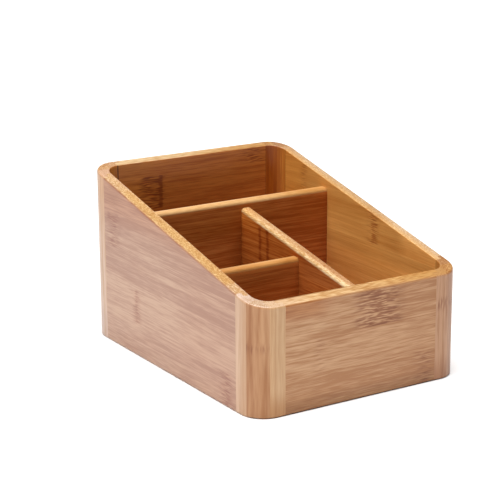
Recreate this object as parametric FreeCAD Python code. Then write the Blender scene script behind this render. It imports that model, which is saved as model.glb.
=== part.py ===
import FreeCAD, Part
import os

# Vanity organizer: an open box of laminated bamboo whose rim slopes from a high rear to a low front.
# Millimetres. The origin is the middle of the footprint on the table, +Z is up, the low front faces -Y.

# Case
width = 145.0          # over the left and right walls
depth = 195.0          # over the front and rear walls
rear_height = 110.4    # rim plane over the rear wall's outside face; rounding brings it down to 110
front_height = 64.5    # rim plane over the front wall's outside face
wall = 7.3
corner_radius = 15.0   # round outside of the corner posts
cove_radius = 9.2      # hollow inside of the corner posts
outer_rim_round = 1.5  # the rim's outside edge is sanded round
inner_rim_round = 0.6  # and its inside edge only eased
foot_chamfer = 0.8     # outside edge at the table

# Corner posts, glued up from a core strip and two leg strips, and lapped over the panels' ends
lap_length = 3.5       # how far a post's lip covers a panel's tongue
tongue_share = 0.5     # share of the wall, on its inside, that is tongue
core_reach = 10.2      # core strip, measured in from the outside faces

# Floor, held in a groove round the inside of the walls
floor_thickness = 5.0
floor_lift = 3.0       # underside above the table
floor_housing = 2.5    # depth of the groove
floor_gap = 0.2        # room in the groove for the board to swell

# Dividers with rounded tops, glued into stopped housings that end as round as the tops
divider_thickness = 7.0
crown_round = 2.2                # both top edges, with a flat between them
diagonal_share = 0.5 ** 0.5      # how far out and up the middle of a quarter round lies
housing_depth = 2.0
glue_gap = 0.1
rear_divider_place = 35.3        # middle of the rear cross divider, behind the case's middle
lengthwise_divider_place = 3.45  # middle of the lengthwise divider, right of the case's middle
front_divider_place = 28.8       # middle of the front cross divider, before the case's middle
rear_divider_drop = 5.7          # from the rim beside it down to its top
lengthwise_rear_drop = 4.8       # from the rear cross divider's top
lengthwise_front_drop = 5.1      # from the rim plane at the front wall's inside face
front_divider_drop = 5.15        # from the lengthwise divider's top

# Cutting shapes run this far past what they cut, and points this close count as the same
overrun = 20.0
touching = 0.001

half_width = width / 2
half_depth = depth / 2
inside_half_width = half_width - wall
inside_half_depth = half_depth - wall
rim_slope = (rear_height - front_height) / depth
post_inside_reach = wall + cove_radius
post_outside_reach = post_inside_reach + lap_length
tongue = wall * tongue_share
floor_top = floor_lift + floor_thickness
half_divider = divider_thickness / 2

left, right = -1, 1
front, rear = -1, 1
along_x = FreeCAD.Vector(1, 0, 0)
along_y = FreeCAD.Vector(0, 1, 0)
upward = FreeCAD.Vector(0, 0, 1)


def rim_height(y):
    """Height of the sloping rim plane at y."""
    return front_height + (y + half_depth) * rim_slope


def block(x0, x1, y0, y1, z0=-overrun, z1=rear_height + overrun):
    """Upright block between two corners, taller than the case unless heights are given."""
    corner = FreeCAD.Vector(min(x0, x1), min(y0, y1), z0)
    return Part.makeBox(abs(x1 - x0), abs(y1 - y0), z1 - z0, corner)


def rounded_prism(half_x, half_y, radius, z0, z1):
    """Upright prism on a rectangle with round corners, centred on the Z axis."""
    prism = block(-half_x, half_x, -half_y, half_y, z0, z1)
    uprights = [edge for edge in prism.Edges if edge.BoundBox.ZLength > touching]
    return prism.makeFillet(radius, uprights)


def one_solid(shape):
    """The only solid in a cut shape, with faces that lie in one plane joined."""
    solids = shape.removeSplitter().Solids
    if len(solids) != 1:
        raise ValueError(f"a piece came out as {len(solids)} solids")
    return solids[0]


def edges_where(shape, holds):
    """Edges whose ends and middle all meet a condition."""
    found = []
    for edge in shape.Edges:
        middle = edge.valueAt((edge.FirstParameter + edge.LastParameter) / 2)
        points = [vertex.Point for vertex in edge.Vertexes] + [middle]
        if all(holds(point) for point in points):
            found.append(edge)
    return found


def on_outside(point):
    """True on the outside of the walls and posts, and not on their inside faces or coves."""
    past_inside = max(abs(point.x) - inside_half_width, abs(point.y) - inside_half_depth)
    return past_inside > touching


def on_outer_rim(point):
    return abs(point.z - rim_height(point.y)) < touching and on_outside(point)


def on_inner_rim(point):
    return abs(point.z - rim_height(point.y)) < touching and not on_outside(point)


def on_foot(point):
    return abs(point.z) < touching and on_outside(point)


def below_rim():
    """Everything under the sloping plane that the walls are sawn to."""
    y0 = -half_depth - overrun
    y1 = half_depth + overrun
    low = -overrun
    outline = [(y0, low), (y1, low), (y1, rim_height(y1)), (y0, rim_height(y0)), (y0, low)]
    corners = [FreeCAD.Vector(-half_width - overrun, y, z) for y, z in outline]
    return Part.Face(Part.makePolygon(corners)).extrude(along_x * (width + 2 * overrun))


def wall_ring():
    """Walls and posts as one ring, sawn to the slope, with its rim sanded round and its foot eased."""
    full = rounded_prism(half_width, half_depth, corner_radius, 0, rear_height + overrun)
    hollow = rounded_prism(inside_half_width, inside_half_depth, cove_radius, -overrun, rear_height + overrun)
    ring = one_solid(full.cut(hollow).common(below_rim()))
    ring = ring.makeFillet(inner_rim_round, edges_where(ring, on_inner_rim))
    ring = ring.makeFillet(outer_rim_round, edges_where(ring, on_outer_rim))
    return ring.makeChamfer(foot_chamfer, edges_where(ring, on_foot))


def floor_prism(reach):
    """Floor-high prism that goes a given distance into the walls."""
    half_x = inside_half_width + reach
    half_y = inside_half_depth + reach
    return rounded_prism(half_x, half_y, cove_radius + reach, floor_lift, floor_top)


def lengthwise_top(y):
    """Height of the lengthwise divider's sloping top at y."""
    front_y = -inside_half_depth
    rear_y = rear_divider_place - half_divider
    front_top = rim_height(front_y) - lengthwise_front_drop
    rear_top = rear_divider_top - lengthwise_rear_drop
    return front_top + (y - front_y) * (rear_top - front_top) / (rear_y - front_y)


def round_topped_board(along, begin, end, begin_top, end_top, place, growth):
    """Upright board on the floor, with a rounded top that may slope, grown all round for its housing."""
    across = along_y if along is along_x else along_x
    half = half_divider + growth
    flat = half_divider - crown_round
    shoulder = begin_top - crown_round
    round_middle = (crown_round + growth) * diagonal_share
    foot = floor_top - abs(end_top - begin_top)

    def profile_point(sideways, height):
        return along * begin + across * (place + sideways) + upward * height

    left_foot = profile_point(-half, foot)
    right_foot = profile_point(half, foot)
    left_shoulder = profile_point(-half, shoulder)
    right_shoulder = profile_point(half, shoulder)
    left_round = profile_point(-flat - round_middle, shoulder + round_middle)
    right_round = profile_point(flat + round_middle, shoulder + round_middle)
    left_crown = profile_point(-flat, begin_top + growth)
    right_crown = profile_point(flat, begin_top + growth)
    outline = [
        Part.LineSegment(left_foot, right_foot),
        Part.LineSegment(right_foot, right_shoulder),
        Part.Arc(right_shoulder, right_round, right_crown),
        Part.LineSegment(right_crown, left_crown),
        Part.Arc(left_crown, left_round, left_shoulder),
        Part.LineSegment(left_shoulder, left_foot),
    ]
    profile = Part.Face(Part.Wire([curve.toShape() for curve in outline]))
    board = profile.extrude(along * (end - begin) + upward * (end_top - begin_top))
    above_floor = block(-width, width, -depth, depth, floor_top)
    return one_solid(board.common(above_floor))


def rear_divider(growth, reach):
    end = inside_half_width + reach
    top = rear_divider_top
    return round_topped_board(along_x, -end, end, top, top, rear_divider_place, growth)


def lengthwise_divider(growth, reach):
    begin = -inside_half_depth - reach
    end = rear_divider_place - half_divider + reach
    tops = lengthwise_top(begin), lengthwise_top(end)
    return round_topped_board(along_y, begin, end, *tops, lengthwise_divider_place, growth)


def front_divider(growth, reach):
    begin = -inside_half_width - reach
    end = lengthwise_divider_place - half_divider + reach
    top = lengthwise_top(-front_divider_place) - front_divider_drop
    return round_topped_board(along_x, begin, end, top, top, -front_divider_place, growth)


def side_panel(ring, side):
    """Left or right wall board: its outside stops at the posts' lips and its tongues run on behind them."""
    step = side * (half_width - wall + tongue)
    lip_y = half_depth - post_outside_reach
    tongue_y = half_depth - post_inside_reach
    outside = block(side * (half_width + overrun), step, -lip_y, lip_y)
    inside = block(step, side * (half_width - post_inside_reach), -tongue_y, tongue_y)
    return one_solid(ring.common(outside.fuse(inside)))


def end_panel(ring, end):
    """Front or rear wall board, lapped by the posts in the same way."""
    step = end * (half_depth - wall + tongue)
    lip_x = half_width - post_outside_reach
    tongue_x = half_width - post_inside_reach
    outside = block(-lip_x, lip_x, end * (half_depth + overrun), step)
    inside = block(-tongue_x, tongue_x, step, end * (half_depth - post_inside_reach))
    return one_solid(ring.common(outside.fuse(inside)))


def post_strips(ring, side, end):
    """Core, side strip and end strip of one corner post, with its lips over the panels' tongues."""
    outward = -overrun
    step = wall - tongue

    def corner_block(side_from, side_to, end_from, end_to):
        """Block measured in from the two outside faces at this corner."""
        x0 = side * (half_width - side_from)
        x1 = side * (half_width - side_to)
        y0 = end * (half_depth - end_from)
        y1 = end * (half_depth - end_to)
        return block(x0, x1, y0, y1)

    side_rebate = corner_block(step, post_inside_reach, post_inside_reach, post_outside_reach)
    end_rebate = corner_block(post_inside_reach, post_outside_reach, step, post_inside_reach)
    post = ring.cut(side_rebate.fuse(end_rebate))
    regions = [
        corner_block(outward, core_reach, outward, core_reach),
        corner_block(outward, post_outside_reach, core_reach, post_outside_reach),
        corner_block(core_reach, post_outside_reach, outward, core_reach),
    ]
    return [one_solid(post.common(region)) for region in regions]


rear_divider_top = rim_height(rear_divider_place) - rear_divider_drop
seated = housing_depth - glue_gap

# The walls are housed for the floor and the dividers before they part into panels and posts
lengthwise_housing = lengthwise_divider(glue_gap, housing_depth)
front_housing = front_divider(glue_gap, housing_depth)
ring = wall_ring().cut(floor_prism(floor_housing))
ring = ring.cut(rear_divider(glue_gap, housing_depth))
ring = ring.cut(lengthwise_housing)
ring = ring.cut(front_housing)

pieces = {
    "front_panel": end_panel(ring, front),
    "rear_panel": end_panel(ring, rear),
    "left_panel": side_panel(ring, left),
    "right_panel": side_panel(ring, right),
    "floor_panel": floor_prism(floor_housing - floor_gap),
    "rear_cross_divider": one_solid(rear_divider(0, seated).cut(lengthwise_housing)),
    "lengthwise_divider": one_solid(lengthwise_divider(0, seated).cut(front_housing)),
    "front_cross_divider": front_divider(0, seated),
}
for end_name, end in (("front", front), ("rear", rear)):
    for side_name, side in (("left", left), ("right", right)):
        core, side_strip, end_strip = post_strips(ring, side, end)
        post_name = f"{end_name}_{side_name}_post"
        pieces[f"{post_name}_core"] = core
        pieces[f"{post_name}_side_strip"] = side_strip
        pieces[f"{post_name}_{end_name}_strip"] = end_strip

os.makedirs("parts", exist_ok=True)
for name, piece in pieces.items():
    piece.exportStep(f"parts/{name}.step")
    print(f"{name}: {piece.Volume:.0f} mm3, {len(piece.Faces)} faces, valid {piece.isValid()}")
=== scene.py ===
import math

import bpy
from mathutils import Matrix, Vector


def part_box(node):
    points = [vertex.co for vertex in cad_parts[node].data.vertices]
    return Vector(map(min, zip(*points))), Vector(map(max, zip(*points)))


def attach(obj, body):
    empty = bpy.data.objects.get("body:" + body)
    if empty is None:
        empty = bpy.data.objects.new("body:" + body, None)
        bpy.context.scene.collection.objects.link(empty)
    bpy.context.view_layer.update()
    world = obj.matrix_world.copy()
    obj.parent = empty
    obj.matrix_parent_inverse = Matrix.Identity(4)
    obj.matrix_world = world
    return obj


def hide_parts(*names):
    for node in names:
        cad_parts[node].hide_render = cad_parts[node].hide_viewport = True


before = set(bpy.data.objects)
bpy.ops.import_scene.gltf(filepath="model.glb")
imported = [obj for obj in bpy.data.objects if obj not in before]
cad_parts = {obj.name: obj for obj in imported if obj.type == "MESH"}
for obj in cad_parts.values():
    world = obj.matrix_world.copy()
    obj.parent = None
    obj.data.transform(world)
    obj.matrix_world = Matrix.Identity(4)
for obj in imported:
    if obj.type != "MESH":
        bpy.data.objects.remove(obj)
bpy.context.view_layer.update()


# Left and right wall panels.
# Boards of bamboo strips, 21.5 mm wide and glued edge to edge, with the grain running front to rear.
# They are tongued into the corner posts, sawn to the rim's slope after gluing up, sanded and lacquered.
class Wire:
    """One socket of a node tree, with sums written as Python. Each operator adds its own Math node."""

    # A mix node has sockets for several kinds of data, and these are its colours
    first_colour = 6
    second_colour = 7
    mixed_colour = 2

    def __init__(self, socket):
        self.socket = socket

    def node(self, kind, settings, inputs, outputs=(0,)):
        """A new node: its settings first, then the values or wires of its inputs."""
        tree = self.socket.id_data
        made = tree.nodes.new(kind)
        for name, value in settings.items():
            setattr(made, name, value)
        for name, value in inputs.items():
            if isinstance(value, Wire):
                tree.links.new(value.socket, made.inputs[name])
            else:
                made.inputs[name].default_value = value
        wires = [Wire(made.outputs[name]) for name in outputs]
        return wires if len(wires) > 1 else wires[0]

    def maths(self, operation, *others):
        """One Math node on this wire and others."""
        return self.node("ShaderNodeMath", {"operation": operation}, dict(enumerate([self, *others])))

    def __add__(self, other):
        return self.maths("ADD", other)

    def __mul__(self, other):
        return self.maths("MULTIPLY", other)

    def __sub__(self, other):
        return self.maths("SUBTRACT", other)

    def __rsub__(self, other):
        return self.maths("MULTIPLY_ADD", -1, other)

    def __truediv__(self, other):
        return self.maths("DIVIDE", other)

    def __abs__(self):
        return self.maths("ABSOLUTE")

    __radd__ = __add__
    __rmul__ = __mul__

    def ease(self, low, high):
        """0 at low and 1 at high, with an even curve between them."""
        return self.node("ShaderNodeMapRange", {"interpolation_type": "SMOOTHSTEP"},
                         {"Value": self, "From Min": low, "From Max": high})

    def blend(self, mode, share, other):
        """This colour mixed with another by a share."""
        colours = {self.first_colour: self, self.second_colour: other}
        return self.node("ShaderNodeMix", {"data_type": "RGBA", "blend_type": mode},
                         {"Factor": share, **colours}, (self.mixed_colour,))


to_millimetres = 1000
inside_x = -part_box("left_panel")[1].x * to_millimetres
inside_y = -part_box("front_panel")[1].y * to_millimetres


def bamboo(name, grain, across, seed, outside, inside, top, crown=None, strip_width=21.5, first_strip=-1.0,
           strip_tones=(), length=70, coarse=1.0, streak=1.0, cloud=1.2, dots=1.0, knuckles=(), bands=(),
           tints=(), stain=(0.6, 0.42, 0.33), gloss=0.5):
    """Lacquered bamboo, solid all through, with fibres along the grain. Lengths are in millimetres.

    Outside, inside and top are pairs of a pale and a deep tone. A divider has a crown for a top: its height
    at the middle of the box and its rise to the rear. The rest of a divider is inside.
    Strips lie side by side on the axis across, from the edge of the first one, and the seed gives each
    board its own fibres. Strip tones make the strips paler or deeper, counted from the first one. Length
    and coarse are how long and how wide the fibres are. Streak, cloud and dots are how much the fibres,
    slow drifts of tone and the cut fibre ends on top show. A knuckle crosses one strip, where the cane had
    a joint: its place along the grain, how far its stain spreads, how dark it is and how dark its ridge is.
    A band runs along the grain: its place across, its half width and how much paler it is. A tint colours
    one face, from the start of a range to its full strength at the end, on each axis that it names. Gloss
    is how much the wood mirrors.
    """
    material = bpy.data.materials.new(name)
    material.use_nodes = True
    tree = material.node_tree
    shader = tree.nodes["Principled BSDF"]
    place = Wire(tree.nodes.new("ShaderNodeTexCoord").outputs["Object"])
    millimetres = place.node("ShaderNodeMapping", {}, {"Vector": place, "Scale": [to_millimetres] * 3})
    x, y, z = millimetres.node("ShaderNodeSeparateXYZ", {}, {"Vector": millimetres}, ("X", "Y", "Z"))
    axes = {"X": x, "Y": y, "Z": z}
    along = axes[grain]
    wide = axes[across]
    thick = next(axes[axis] for axis in axes if axis not in (grain, across))

    # Which strip of the board this is, and fibres that differ from strip to strip
    strips_up = (wide - first_strip) / strip_width
    strip = strips_up.maths("FLOOR")
    luck = strip.node("ShaderNodeTexWhiteNoise", {"noise_dimensions": "1D"}, {"W": strip + seed}) - 0.5
    strip_shift = 400
    board_shift = 31
    depth_shift = 90
    shifted = along + luck * strip_shift + seed * board_shift
    depth = thick + luck * depth_shift

    def drawn_out(sideways, far, width, detail):
        """Noise drawn out along the grain, from -0.5 to 0.5."""
        stretched = along.node("ShaderNodeCombineXYZ", {},
                               {"X": shifted / far, "Y": sideways / width, "Z": depth / width})
        noise = {"Vector": stretched, "Scale": 1, "Detail": detail}
        return stretched.node("ShaderNodeTexNoise", {}, noise) - 0.5

    # Which face this is: a divider's crown is told by its height, and any other top by the way it faces
    if crown:
        height, rise = crown
        crown_depth = 2.3
        edge_blur = 0.5
        crown_edge = height - crown_depth
        on_top = (z - y * rise).ease(crown_edge - edge_blur, crown_edge + edge_blur)
        on_inside = 1
    else:
        facing = along.node("ShaderNodeNewGeometry", {}, {}, ("Normal",))
        up = facing.node("ShaderNodeSeparateXYZ", {}, {"Vector": facing}, ("Z",))
        leaning = 0.5
        level = 0.85
        on_top = up.ease(leaning, level)
        beyond_x = abs(x) - inside_x
        beyond_y = abs(y) - inside_y
        in_the_wall = 0.5
        at_the_face = 0.1
        on_inside = beyond_x.maths("MAXIMUM", beyond_y).ease(in_the_wall, at_the_face)
    off_top = 1 - on_top
    faces = {"outside": (1 - on_inside) * off_top, "inside": on_inside * off_top, "top": on_top}

    # Knuckles bend the fibres beside them, and show less on top
    same_strip = 0.5
    ridge_crest = 0.4
    ridge_edge = 2.2
    wander = drawn_out(wide, far=40, width=4, detail=1) * 7
    knuckle = 0
    ridge = 0
    for mark in knuckles:
        in_strip = strip.maths("COMPARE", mark["strip"], same_strip) * (1 - on_top * 0.7)
        spread = 1 - abs(along + wander - mark["at"]).ease(0, mark["spread"])
        crest = 1 - abs(along + wander * 0.15 - mark["at"]).ease(ridge_crest, ridge_edge)
        knuckle = knuckle + in_strip * spread * mark["dark"]
        ridge = ridge + in_strip * crest * mark["ridge"]
    sway = drawn_out(wide, far=70, width=14, detail=1) * 3
    bend = drawn_out(wide, far=9, width=6, detail=0) * 1.2
    fibre = wide + sway + knuckle * bend

    # Fibres of several sizes, drifts of tone and glue seams, each with how much it counts in the shade
    broad = drawn_out(fibre, far=length, width=2.6 * coarse, detail=1)
    fine = drawn_out(fibre, far=length * 0.4, width=0.9 * coarse, detail=2)
    pore = drawn_out(fibre, far=7, width=0.4, detail=0)
    vein = drawn_out(fibre, far=length * 1.5, width=1.1 * coarse, detail=0).ease(0.1, 0.3)
    drift = drawn_out(wide, far=110, width=24, detail=1)
    fleck = drawn_out(fibre, far=7, width=0.8, detail=1)
    cut_ends = drawn_out(wide, far=5, width=0.4, detail=0)
    half_seam = 0.3 / strip_width
    seam = abs(strips_up - strip - 0.5).ease(0.5 - half_seam, 0.5)
    fibres = broad * 1.6 + fine * 2.0 + pore * (0.7 / coarse) - vein * 0.4
    shade = (0.5 + fibres * streak * (1 - on_top * 0.5) + drift * cloud + luck * 0.3 - seam * 0.2
             - knuckle * fleck * 1.2 + on_top * cut_ends * 4 * dots)
    for number, paler in enumerate(strip_tones):
        shade = shade + paler * strip.maths("COMPARE", number, same_strip)
    for at, half_width, paler in bands:
        shade = shade + paler * abs(wide - at).ease(half_width, half_width * 0.5)

    def toned(tones):
        """The colour between a face's deep and pale tone."""
        pale, deep = tones
        colours = {Wire.first_colour: (*deep, 1), Wire.second_colour: (*pale, 1)}
        return shade.node("ShaderNodeMix", {"data_type": "RGBA"},
                          {"Factor": shade, **colours}, (Wire.mixed_colour,))

    # Deeper inside tones are partly painted shade and paler tops partly painted light, besides the wood's
    # own tone.
    colour = toned(outside).blend("MIX", on_inside, toned(inside)).blend("MIX", on_top, toned(top))
    colour = colour.blend("MULTIPLY", knuckle * (0.5 + fleck * 5) + ridge * 0.8, (*stain, 1))
    # Some tints paint light and shade: shade towards the table and on crown rounds, highlights on rounded
    # edges.
    for face, ranges, tint in tints:
        share = faces[face]
        for axis, (start, full) in ranges.items():
            share = share * axes[axis].ease(start, full)
        colour = colour.blend("MULTIPLY", share, (*tint, 1))
    roughness = 0.4 - broad * 0.12 + knuckle * 0.06
    lacquer = 0.12 - faces["inside"] * 0.1
    relief = along.node("ShaderNodeBump", {},
                        {"Strength": 0.25, "Distance": 0.0002, "Height": fine + pore * 0.8})
    tree.links.new(colour.socket, shader.inputs["Base Color"])
    tree.links.new(roughness.socket, shader.inputs["Roughness"])
    tree.links.new(lacquer.socket, shader.inputs["Coat Weight"])
    tree.links.new(relief.socket, shader.inputs["Normal"])
    shader.inputs["Specular IOR Level"].default_value = gloss
    shader.inputs["Coat Roughness"].default_value = 0.3
    return material


def pair(red, green, blue, contrast):
    """A pale and a deep tone about one middle colour. The deep one is redder."""
    steps = (contrast * 0.65, contrast * 1.1, contrast * 1.7)
    middle = list(zip((red, green, blue), steps))
    pale = tuple(tone * (1 + step) for tone, step in middle)
    deep = tuple(tone * (1 - step) for tone, step in middle)
    return pale, deep


faint_line = (0.75, 0.7, 0.65)


def glue_lines(node, axis, low_tint=faint_line):
    """Thin lines on a panel's inside, where its board ends against the posts."""
    line = 0.5
    line_edge = 0.8
    low_end, high_end = (corner["XYZ".index(axis)] * to_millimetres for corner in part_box(node))
    return [("inside", {axis: (low_end + line_edge, low_end + line)}, low_tint),
            ("inside", {axis: (high_end - line_edge, high_end - line)}, faint_line)]


def finish_node(node, material):
    """Gives a CAD node its one material."""
    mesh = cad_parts[node].data
    mesh.materials.clear()
    mesh.materials.append(material)


# Inside tones are deeper than outside ones partly as painted shade.
plain_outside = pair(0.455, 0.245, 0.13, 0.2)
plain_inside = pair(0.49, 0.16, 0.036, 0.25)
finish_node("left_panel", bamboo(
    "left_panel_bamboo", grain="Y", across="Z", seed=1,
    outside=((0.496, 0.299, 0.194), (0.353, 0.177, 0.111)), inside=plain_inside,
    top=pair(0.6, 0.343, 0.126, 0.32), strip_tones=(0, 0.1), length=42, coarse=0.8, streak=0.9,
    stain=(0.75, 0.58, 0.55), bands=[(21, 4, 0.2), (51, 6, -0.5), (62, 4, -0.2)],
    knuckles=[
        dict(at=66, strip=3, spread=13, dark=0.75, ridge=0),
        dict(at=38, strip=1, spread=7, dark=0.8, ridge=0.3),
        dict(at=-68, strip=0, spread=12, dark=0.9, ridge=0.2),
        dict(at=-20, strip=4, spread=6, dark=0.4, ridge=0)],
    tints=[
        ("outside", {"Z": (72, 92)}, (0.95, 0.79, 0.68)),
        ("outside", {"Y": (5, -45)}, (0.98, 0.94, 0.92)),
        ("outside", {"Y": (50, 65), "Z": (86, 94)}, (0.93, 0.9, 0.85)),
        ("top", {"Y": (-64, -69)}, (1.02, 1.12, 1.6)),
        ("top", {"Y": (48, 62)}, (1.0, 1.05, 1.35)),
        # Paler towards the rim's inner rounded edge: a painted highlight. The outer edge is a little
        # darker.
        ("top", {"X": (-68, -66)}, (1.02, 1.02, 1.18)),
        ("top", {"X": (-70, -72)}, (0.9, 0.93, 1.03)),
        *glue_lines("left_panel", "Y")]))
finish_node("right_panel", bamboo(
    "right_panel_bamboo", grain="Y", across="Z", seed=2,
    outside=plain_outside, inside=pair(0.73, 0.345, 0.083, 0.25), top=pair(0.645, 0.38, 0.163, 0.25),
    strip_tones=(0, 0, 0, 0.1, -0.4), length=90, streak=0.5, cloud=2.0, dots=0.6,
    knuckles=[
        dict(at=-18, strip=3, spread=9, dark=0.85, ridge=0.15),
        dict(at=46, strip=1, spread=7, dark=0.6, ridge=0),
        dict(at=58, strip=4, spread=6, dark=0.4, ridge=0),
        dict(at=-60, strip=0, spread=8, dark=0.6, ridge=0.2)],
    tints=[
        ("inside", {"Y": (-20, -45)}, (0.95, 0.93, 0.92)),
        ("inside", {"Y": (40, 70)}, (1.02, 0.91, 0.7)),
        # Paler low on the inside: painted light that lifts the shade in the compartment.
        ("inside", {"Z": (57.5, 52.5)}, (1.3, 1.43, 1.68)),
        ("inside", {"Y": (-40, -55), "Z": (61.5, 64)}, (1.28, 1.35, 1.5)),
        ("top", {"Y": (-40, -12)}, (0.95, 0.93, 0.87)),
        ("top", {"Y": (30, 55)}, (1.04, 1.06, 1.12)),
        # Paler and bluer towards the rim's outer rounded edge: a painted highlight.
        ("top", {"X": (66.5, 71)}, (0.91, 1.02, 1.38)),
        *glue_lines("right_panel", "Y")]))


# Front and rear wall panels.
# The same strip board as the side panels, with the grain running left to right, tongued between the posts.
at_the_table = {"Z": (1.0, 0.4)}
# A painted shadow line where the front stands on the table.
front_table_shadow_line = (0.3, 0.25, 0.23)
finish_node("front_panel", bamboo(
    "front_panel_bamboo", grain="X", across="Z", seed=3,
    outside=pair(0.476, 0.242, 0.107, 0.28), inside=plain_inside, top=pair(0.612, 0.38, 0.2, 0.35),
    strip_tones=(-0.2, 0.2), length=36, dots=0.6, stain=(0.59, 0.41, 0.3),
    bands=[(15.5, 4, -0.22), (28, 4, 0.15), (41, 1.6, -0.2)],
    knuckles=[
        dict(at=11, strip=2, spread=23, dark=1.6, ridge=0.1),
        dict(at=45, strip=0, spread=12, dark=0.55, ridge=0),
        dict(at=-30, strip=1, spread=6, dark=0.3, ridge=0)],
    tints=[
        ("outside", {"X": (-50, 50)}, (0.93, 0.88, 0.82)),
        ("outside", {"X": (-16, -34), "Z": (50, 60)}, (0.81, 0.6, 0.38)),
        # Darker towards the table and a dark line where it stands: painted shade and a painted shadow line.
        ("outside", {"X": (-10, -40), "Z": (14, 5)}, (0.87, 0.77, 0.6)),
        ("outside", {"Z": (10, 3.5)}, (0.74, 0.66, 0.53)),
        ("outside", {"Z": (4.5, 2)}, (1.1, 1.2, 1.3)),
        ("outside", at_the_table, front_table_shadow_line),
        ("top", {"X": (-48, -32)}, (0.99, 0.95, 0.8)),
        ("top", {"X": (-25, 45)}, (0.785, 0.63, 0.39)),
        ("top", {"X": (0, 20), "Y": (-94, -91.5)}, (1.15, 1.2, 1.2)),
        ("top", {"X": (5, -15), "Y": (-92, -91)}, (0.65, 0.54, 0.42)),
        *glue_lines("front_panel", "X")]))
# The rear panel meets its left post in an open joint; the near-black line there is painted shadow in the
# gap.
open_joint_shadow_line = (0.05, 0.04, 0.03)
finish_node("rear_panel", bamboo(
    "rear_panel_bamboo", grain="X", across="Z", seed=4,
    outside=plain_outside, inside=pair(0.475, 0.138, 0.0225, 0.25), top=pair(0.585, 0.365, 0.172, 0.35),
    first_strip=-9.0, strip_tones=(0, 0, 0, 0, -0.05, 0.25), length=60, streak=1.3, dots=0.5,
    stain=(0.49, 0.34, 0.22),
    knuckles=[
        dict(at=-34, strip=4, spread=14, dark=1.0, ridge=0),
        dict(at=-25, strip=4, spread=5, dark=0.6, ridge=0.9),
        dict(at=46, strip=5, spread=14, dark=0.8, ridge=0),
        dict(at=20, strip=1, spread=9, dark=0.6, ridge=0.2),
        dict(at=-40, strip=2, spread=8, dark=0.6, ridge=0)],
    tints=[
        ("inside", {"X": (-10, -45)}, (1.09, 1.2, 1.12)),
        ("inside", {"X": (-30, -45), "Z": (103, 97)}, (1.15, 1.2, 1.25)),
        ("inside", {"X": (-30, -45), "Z": (103, 108)}, (0.91, 0.92, 0.92)),
        ("top", {"X": (-15, 40)}, (0.89, 0.74, 0.54)),
        ("top", {"X": (-10, 15), "Y": (93.2, 91.2)}, (0.88, 0.82, 0.65)),
        *glue_lines("rear_panel", "X", low_tint=open_joint_shadow_line)]))


# Corner posts.
# Each is glued up from a core strip and two leg strips with upright grain, round outside and coved inside.
# The leg strips' lips lap over the panels' tongues, and end grain shows on the rim.
# Cove tones are partly painted light and shade: golden where a cove faces the left light, dark in shade.
dark_cove = pair(0.40, 0.1, 0.012, 0.25)
warm_cove = pair(0.58, 0.212, 0.031, 0.25)
golden_cove = pair(0.62, 0.27, 0.06, 0.2)
# A painted shadow line where a post stands on the table.
table_shadow_line = (0.44, 0.4, 0.38)


def foot(line, shade):
    """Painted shade that darkens a post towards the table, with a painted shadow line where it stands."""
    return [("outside", {"Z": (18, 3)}, shade), ("outside", at_the_table, line)]


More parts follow.
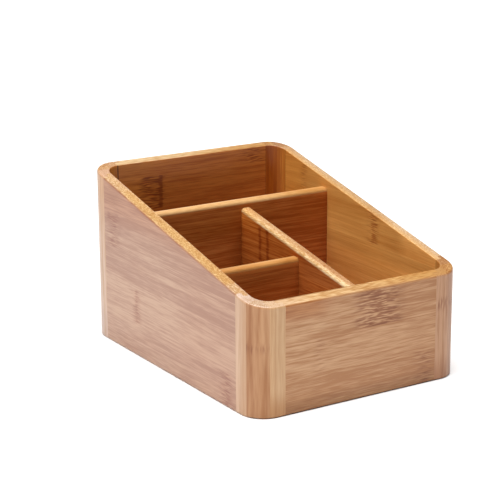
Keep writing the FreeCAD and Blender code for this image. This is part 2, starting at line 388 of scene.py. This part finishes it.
post_strips = {
    "front_left_post_core": dict(
        outside=pair(0.423, 0.2, 0.082, 0.28), inside=dark_cove, top=pair(0.545, 0.353, 0.22, 0.3),
        streak=1.2, coarse=3, knuckles=[dict(at=41, strip=0, spread=5, dark=0.4, ridge=0.1)],
        tints=[*foot((0.6, 0.57, 0.55), (0.97, 0.96, 0.93)),
               ("outside", {"X": (-66, -70)}, (0.9, 0.86, 0.83))]),
    "front_left_post_side_strip": dict(
        outside=pair(0.515, 0.312, 0.185, 0.15), inside=dark_cove, top=pair(0.615, 0.43, 0.32, 0.25),
        bands=[(-79, 4, 0.3), (-87, 4, -0.3)]),
    "front_left_post_front_strip": dict(
        outside=pair(0.55, 0.322, 0.158, 0.15), inside=dark_cove, top=pair(0.62, 0.407, 0.245, 0.2),
        bands=[(-53, 1, 0.2)], tints=foot(table_shadow_line, (0.775, 0.63, 0.45))),
    "front_right_post_core": dict(
        outside=pair(0.42, 0.21, 0.108, 0.3), inside=golden_cove, top=pair(0.44, 0.205, 0.063, 0.55),
        streak=1.8, coarse=2, knuckles=[dict(at=47, strip=0, spread=5, dark=0.6, ridge=0)],
        tints=foot(table_shadow_line, (0.8, 0.72, 0.65))),
    "front_right_post_side_strip": dict(
        outside=plain_outside, inside=golden_cove, top=pair(0.42, 0.2, 0.075, 0.4)),
    "front_right_post_front_strip": dict(
        outside=pair(0.386, 0.179, 0.08, 0.35), inside=golden_cove, top=pair(0.427, 0.198, 0.058, 0.4),
        knuckles=[dict(at=47, strip=0, spread=6, dark=0.8, ridge=0)],
        tints=foot(table_shadow_line, (0.79, 0.665, 0.54))),
    "rear_left_post_core": dict(
        outside=pair(0.42, 0.25, 0.155, 0.2), inside=warm_cove, top=pair(0.49, 0.258, 0.11, 0.5),
        streak=1.6, coarse=2),
    "rear_left_post_side_strip": dict(
        outside=pair(0.53, 0.33, 0.214, 0.25), inside=warm_cove, top=pair(0.55, 0.313, 0.18, 0.3),
        tints=[("outside", {"Y": (81.5, 83.5)}, (1.01, 1.08, 1.18)),
               ("outside", {"Z": (66, 100)}, (0.88, 0.73, 0.54)),
               ("outside", {"Z": (62, 45)}, (1.02, 1.08, 1.16)),
               ("outside", {"Z": (24, 12)}, (0.87, 0.84, 0.84))]),
    "rear_left_post_rear_strip": dict(
        outside=plain_outside, inside=warm_cove, top=pair(0.535, 0.303, 0.155, 0.3)),
    "rear_right_post_core": dict(
        outside=plain_outside, inside=pair(0.378, 0.09, 0.0064, 0.25), top=pair(0.374, 0.18, 0.078, 0.4),
        coarse=2),
    "rear_right_post_side_strip": dict(
        outside=plain_outside, inside=pair(0.559, 0.188, 0.0264, 0.3), top=pair(0.5, 0.28, 0.13, 0.3),
        bands=[(86.8, 1.8, -0.8)]),
    "rear_right_post_rear_strip": dict(
        outside=plain_outside, inside=pair(0.39, 0.095, 0.0072, 0.25), top=pair(0.49, 0.263, 0.104, 0.3),
        bands=[(58, 2.5, -0.6)]),
}
whole_strip = dict(strip_width=400, first_strip=-200, streak=0.9)
for seed, (node, look) in enumerate(post_strips.items(), 10):
    across = "Y" if node.endswith("side_strip") else "X"
    finish_node(node, bamboo(f"{node}_bamboo", grain="Z", across=across, seed=seed, **(whole_strip | look)))


# Floor panel.
# A thin strip board that floats in a groove round the inside of the walls, with its grain front to rear.
finish_node("floor_panel", bamboo(
    "floor_panel_bamboo", grain="Y", across="X", seed=5, outside=plain_outside, inside=plain_inside,
    top=pair(0.35, 0.162, 0.042, 0.25), dots=0, gloss=0.2,
    knuckles=[
        dict(at=30, strip=1, spread=6, dark=0.6, ridge=0),
        dict(at=-40, strip=-2, spread=6, dark=0.6, ridge=0)]))


# Dividers.
# Three strip boards with rounded tops, glued upright into stopped housings in the walls and each other.
# They stand on the floor panel, and the lengthwise one's top slopes down to the front.
board_tree = bpy.data.node_groups.new("round_topped_board", "GeometryNodeTree")
for size in ("Begin", "End", "Begin top", "End top", "Foot", "Thickness", "Crown round"):
    board_tree.interface.new_socket(size, in_out="INPUT", socket_type="NodeSocketFloat")
board_tree.interface.new_socket("Place", in_out="INPUT", socket_type="NodeSocketVector")
board_tree.interface.new_socket("Turn", in_out="INPUT", socket_type="NodeSocketVector")
board_tree.interface.new_socket("Bamboo", in_out="INPUT", socket_type="NodeSocketMaterial")
board_tree.interface.new_socket("Board", in_out="OUTPUT", socket_type="NodeSocketGeometry")
given = {socket.name: Wire(socket) for socket in board_tree.nodes.new("NodeGroupInput").outputs}
begin, end, crown_round = given["Begin"], given["End"], given["Crown round"]
here = begin.node("GeometryNodeInputPosition", {}, {})
x, y, z = here.node("ShaderNodeSeparateXYZ", {}, {"Vector": here}, ("X", "Y", "Z"))


def point(x, y, z):
    """The place that three sums give."""
    return begin.node("ShaderNodeCombineXYZ", {}, {"X": x, "Y": y, "Z": z})


# The sweep turns the profile over, so the corners below its middle are the ones that come out on top
round_steps = 8
same_point = 0.00001
half_profile = crown_round * 2
profile = begin.node("GeometryNodeCurvePrimitiveQuadrilateral", {"mode": "RECTANGLE"},
                     {"Width": given["Thickness"], "Height": half_profile * 2})
corner_round = crown_round * y.maths("LESS_THAN", 0)
rounded = begin.node("GeometryNodeFilletCurve", {"mode": "POLY"},
                     {"Curve": profile, "Count": round_steps, "Radius": corner_round})
rail = begin.node("GeometryNodeCurvePrimitiveLine", {},
                  {"Start": point(begin, 0, 0), "End": point(end, 0, 0)})
swept = begin.node("GeometryNodeCurveToMesh", {},
                   {"Curve": rail, "Profile Curve": rounded, "Fill Caps": True})
top = given["Begin top"] + (given["End top"] - given["Begin top"]) * (x - begin) / (end - begin)
height = given["Foot"] + z.maths("GREATER_THAN", 0) * (top + z - half_profile - given["Foot"])
sloped = begin.node("GeometryNodeSetPosition", {}, {"Geometry": swept, "Position": point(x, y, height)})
placed = begin.node("GeometryNodeTransform", {},
                    {"Geometry": sloped, "Translation": given["Place"], "Rotation": given["Turn"]})
merged = begin.node("GeometryNodeMergeByDistance", {}, {"Geometry": placed, "Distance": same_point})
real = begin.node("GeometryNodeRealizeInstances", {}, {"Geometry": merged})
lacquered = begin.node("GeometryNodeSetMaterial", {}, {"Geometry": real, "Material": given["Bamboo"]})
board_tree.links.new(lacquered.socket, board_tree.nodes.new("NodeGroupOutput").inputs["Board"])


sharp_angle = math.radians(30)


def made_plain(piece):
    """Gives a piece what its modifiers make as its own mesh, shaded smooth but for its sharp edges."""
    shape = bpy.data.meshes.new_from_object(piece.evaluated_get(bpy.context.evaluated_depsgraph_get()))
    shape.shade_smooth()
    shape.set_sharp_from_angle(angle=sharp_angle)
    piece.modifiers.clear()
    piece.data = shape


glue_gap = 0.0001
top_edge_round = 0.0022


def board_sizes(node, lengthwise):
    """A board's sizes from its node. The lengthwise board's top slopes down to the front."""
    low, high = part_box(node)
    middle = (low + high) / 2
    sizes = {"Begin top": high.z, "End top": high.z, "Foot": low.z, "Crown round": top_edge_round}
    if lengthwise:
        corners = [vertex.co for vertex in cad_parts[node].data.vertices]
        sizes["Begin top"] = max(corner.z for corner in corners if corner.y - low.y < same_point)
        sizes |= {"Begin": low.y, "End": high.y, "Thickness": high.x - low.x}
        sizes |= {"Place": (middle.x, 0.0, 0.0), "Turn": (0.0, 0.0, math.pi / 2)}
    else:
        sizes |= {"Begin": low.x, "End": high.x, "Thickness": high.y - low.y}
        sizes |= {"Place": (0.0, middle.y, 0.0), "Turn": (0.0, 0.0, 0.0)}
    return sizes


def board(name, sizes, growth=0):
    """One board, or with growth the space that its end needs in the piece that houses it."""
    piece = bpy.data.objects.new(name, bpy.data.meshes.new(name))
    bpy.context.scene.collection.objects.link(piece)
    maker = piece.modifiers.new("board", "NODES")
    maker.node_group = board_tree
    grown = {"End": growth, "Begin top": growth, "End top": growth, "Foot": -growth,
             "Thickness": growth * 2, "Crown round": growth}
    for socket in board_tree.interface.items_tree:
        if socket.in_out == "INPUT":
            size = sizes[socket.name]
            maker[socket.identifier] = size + grown[socket.name] if socket.name in grown else size
    made_plain(piece)
    return piece


def house(piece, guest):
    """Cuts a stopped housing for another divider's end."""
    cut = piece.modifiers.new("housing", "BOOLEAN")
    cut.object = guest
    cut.solver = "EXACT"
    made_plain(piece)
    bpy.data.objects.remove(guest)


def crown_of(sizes):
    """A board's crown: its height at the middle of the box, in millimetres, and its rise along it."""
    rise = (sizes["End top"] - sizes["Begin top"]) / (sizes["End"] - sizes["Begin"])
    return (sizes["End top"] - sizes["End"] * rise) * to_millimetres, rise


rear_sizes = board_sizes("rear_cross_divider", lengthwise=False)
rear_face = pair(0.387, 0.108, 0.0182, 0.32)
rear_sizes["Bamboo"] = bamboo(
    "rear_divider_bamboo", grain="X", across="Z", seed=20, outside=rear_face, inside=rear_face,
    top=pair(0.8, 0.475, 0.22, 0.2), crown=crown_of(rear_sizes), dots=0.3, gloss=0.1,
    tints=[
        ("inside", {"X": (10, 35)}, (1.08, 1.05, 1.15)),
        ("inside", {"Z": (74, 64)}, (1.04, 1.1, 1.32)),
        ("inside", {"X": (0, -14), "Z": (72, 64)}, (1.22, 1.28, 1.45)),
        # Darker on the lower round of the crown's left half: painted shade.
        ("top", {"X": (20, -20), "Z": (88.6, 87.6)}, (0.6, 0.38, 0.15)),
        ("top", {"X": (4, 58)}, (0.83, 0.69, 0.48)),
        # Darker on the crown's front round: painted shade.
        ("top", {"Y": (36.2, 33.2)}, (0.82, 0.78, 0.68))])
lengthwise_sizes = board_sizes("lengthwise_divider", lengthwise=True)
lengthwise_face = pair(0.464, 0.129, 0.0225, 0.38)
lengthwise_sizes["Bamboo"] = bamboo(
    "lengthwise_divider_bamboo", grain="Y", across="Z", seed=21,
    outside=lengthwise_face, inside=lengthwise_face, top=pair(0.63, 0.4, 0.198, 0.28),
    crown=crown_of(lengthwise_sizes), first_strip=-8.5, dots=0.7, gloss=0.1,
    knuckles=[
        dict(at=10.5, strip=3, spread=3, dark=0.4, ridge=0.9),
        dict(at=2, strip=3, spread=3, dark=0.4, ridge=0.9)],
    tints=[
        # Paler on the crown's left round, a painted highlight; darker from there to the right, more so to
        # the front.
        ("top", {"X": (1.6, 0.4)}, (1.1, 1.14, 1.16)),
        ("top", {"X": (1.2, 3.0)}, (0.94, 0.87, 0.87)),
        ("top", {"X": (1.2, 3.0), "Y": (-12, -45)}, (0.79, 0.66, 0.57)),
        ("top", {"Y": (5, 26)}, (0.93, 0.81, 0.62)),
        ("top", {"Y": (-68, -80)}, (1.05, 1.1, 1.12)),
        ("inside", {"Y": (-22, -42)}, (0.88, 0.86, 1.02)),
        ("inside", {"Y": (-30, -45), "Z": (60, 54)}, (1.2, 1.22, 1.15)),
        ("inside", {"Y": (8, 16), "Z": (70, 79)}, (1.22, 1.35, 1.3))])
front_sizes = board_sizes("front_cross_divider", lengthwise=False)
front_face = pair(0.402, 0.112, 0.022, 0.3)
front_sizes["Bamboo"] = bamboo(
    "front_divider_bamboo", grain="X", across="Z", seed=22, outside=front_face, inside=front_face,
    top=pair(0.602, 0.296, 0.106, 0.25), crown=crown_of(front_sizes), dots=0.3, gloss=0.1,
    tints=[
        ("inside", {"Z": (63, 66)}, (1.22, 1.25, 1.22)),
        ("inside", {"Z": (60, 50)}, (1.14, 1.1, 1.1)),
        ("top", {"X": (-18, -6)}, (0.86, 0.8, 0.68)),
        # Darker on the crown's front round: painted shade.
        ("top", {"Y": (-28.5, -31.2)}, (0.85, 0.74, 0.55))])
rear_divider = board("rear_divider_board", rear_sizes)
lengthwise_divider = board("lengthwise_divider_board", lengthwise_sizes)
front_divider = board("front_divider_board", front_sizes)
house(rear_divider, board("lengthwise_end", lengthwise_sizes, glue_gap))
house(lengthwise_divider, board("front_end", front_sizes, glue_gap))
for piece, node in ((rear_divider, "rear_cross_divider"), (lengthwise_divider, "lengthwise_divider"),
                    (front_divider, "front_cross_divider")):
    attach(piece, "root")
    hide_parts(node)


# Studio.
# A plain pale floor under a wide overhead light, a low soft light on the left, and the photo's viewpoint.
floor_mesh = bpy.data.meshes.new("studio_floor")
reach = 6.0
floor_corners = [(-reach, -reach, 0), (reach, -reach, 0), (reach, reach, 0), (-reach, reach, 0)]
floor_mesh.from_pydata(floor_corners, [], [(0, 1, 2, 3)])
floor = bpy.data.objects.new("studio_floor", floor_mesh)
bpy.context.scene.collection.objects.link(floor)
pale_paper = bpy.data.materials.new("pale_paper")
pale_paper.use_nodes = True
paper_shader = pale_paper.node_tree.nodes["Principled BSDF"]
paper_shader.inputs["Base Color"].default_value = (0.95, 0.95, 0.95, 1)
paper_shader.inputs["Roughness"].default_value = 0.9
paper_shader.inputs["Specular IOR Level"].default_value = 0.0
floor_mesh.materials.append(pale_paper)

world = bpy.data.worlds.new("studio_air")
bpy.context.scene.world = world
world.use_nodes = True
air = world.node_tree.nodes["Background"]
air.inputs["Color"].default_value = (1, 1, 1, 1)
air.inputs["Strength"].default_value = 0.1


def light(name, kind, place, aim, **settings):
    """A lamp at one place, turned to face another."""
    lamp = bpy.data.lights.new(name, kind)
    for key, value in settings.items():
        setattr(lamp, key, value)
    stand = bpy.data.objects.new(name, lamp)
    bpy.context.scene.collection.objects.link(stand)
    stand.location = place
    stand.rotation_euler = (Vector(aim) - Vector(place)).to_track_quat("-Z", "Y").to_euler()


light("overhead_light", "SUN", place=(-0.2, -0.2, 2.0), aim=(0, 0, 0), energy=4.2, angle=math.radians(50))
light("left_light", "AREA", place=(-1.7, -0.1, 0.85), aim=(0, 0, 0.05), size=0.6, energy=9)

image_width = 500
focal_pixels = 1602.1
lens = bpy.data.cameras.new("photo_camera")
lens.sensor_width = 36
lens.lens = lens.sensor_width * focal_pixels / image_width
camera = bpy.data.objects.new("photo_camera", lens)
bpy.context.scene.collection.objects.link(camera)
yaw, pitch, roll = (math.radians(angle) for angle in (-32.2, -15.417, -0.294))
camera_place = (-0.5136, -0.7935, 0.3262)
camera.matrix_world = (Matrix.Translation(camera_place) @ Matrix.Rotation(yaw, 4, "Z")
                       @ Matrix.Rotation(math.pi / 2 + pitch, 4, "X") @ Matrix.Rotation(roll, 4, "Z"))
bpy.context.scene.camera = camera
bpy.context.scene.view_settings.view_transform = "Standard"
